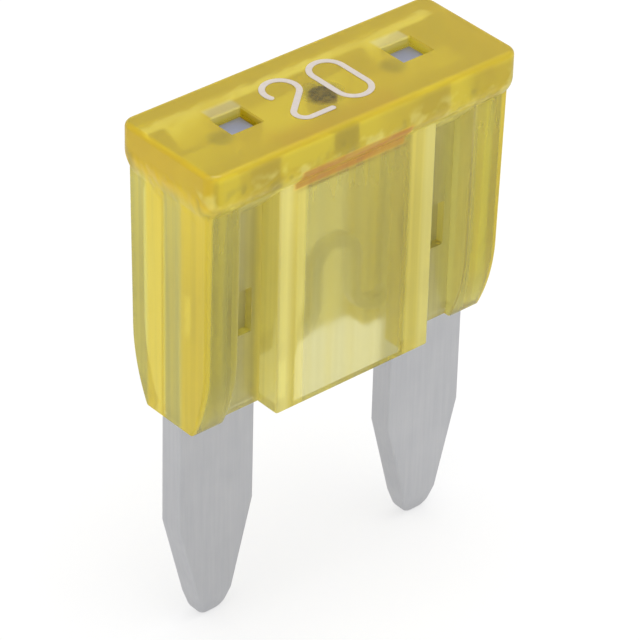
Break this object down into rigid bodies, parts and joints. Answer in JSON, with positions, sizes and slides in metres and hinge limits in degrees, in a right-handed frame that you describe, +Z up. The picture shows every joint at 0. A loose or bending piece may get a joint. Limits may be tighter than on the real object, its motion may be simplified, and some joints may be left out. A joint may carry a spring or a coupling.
{
  "type": "plug-in blade fuse",
  "caption": "Small plug-in blade fuse: a clear yellow moulded housing over a stamped metal element with flat pointed blades, a bent link inside and its rating printed on top.",
  "frame": {"origin": "midway between the blades, in the seat plane at the underside of the housing", "axes": "+Z up out of the holder towards the head, blades along -Z; +X from the left blade to the right blade; -Y is the front the digits are read from"},
  "size_m": [0.011, 0.004, 0.0159],
  "materials": {
    "housing": "clear moulded yellow",
    "metal": "satin stamped",
    "ink": "thin off-white print"
  },
  "bodies": {
    "root": {"housing": "housing", "fuse_element": "metal", "rating_print": "ink"}
  },
  "joints": []
}
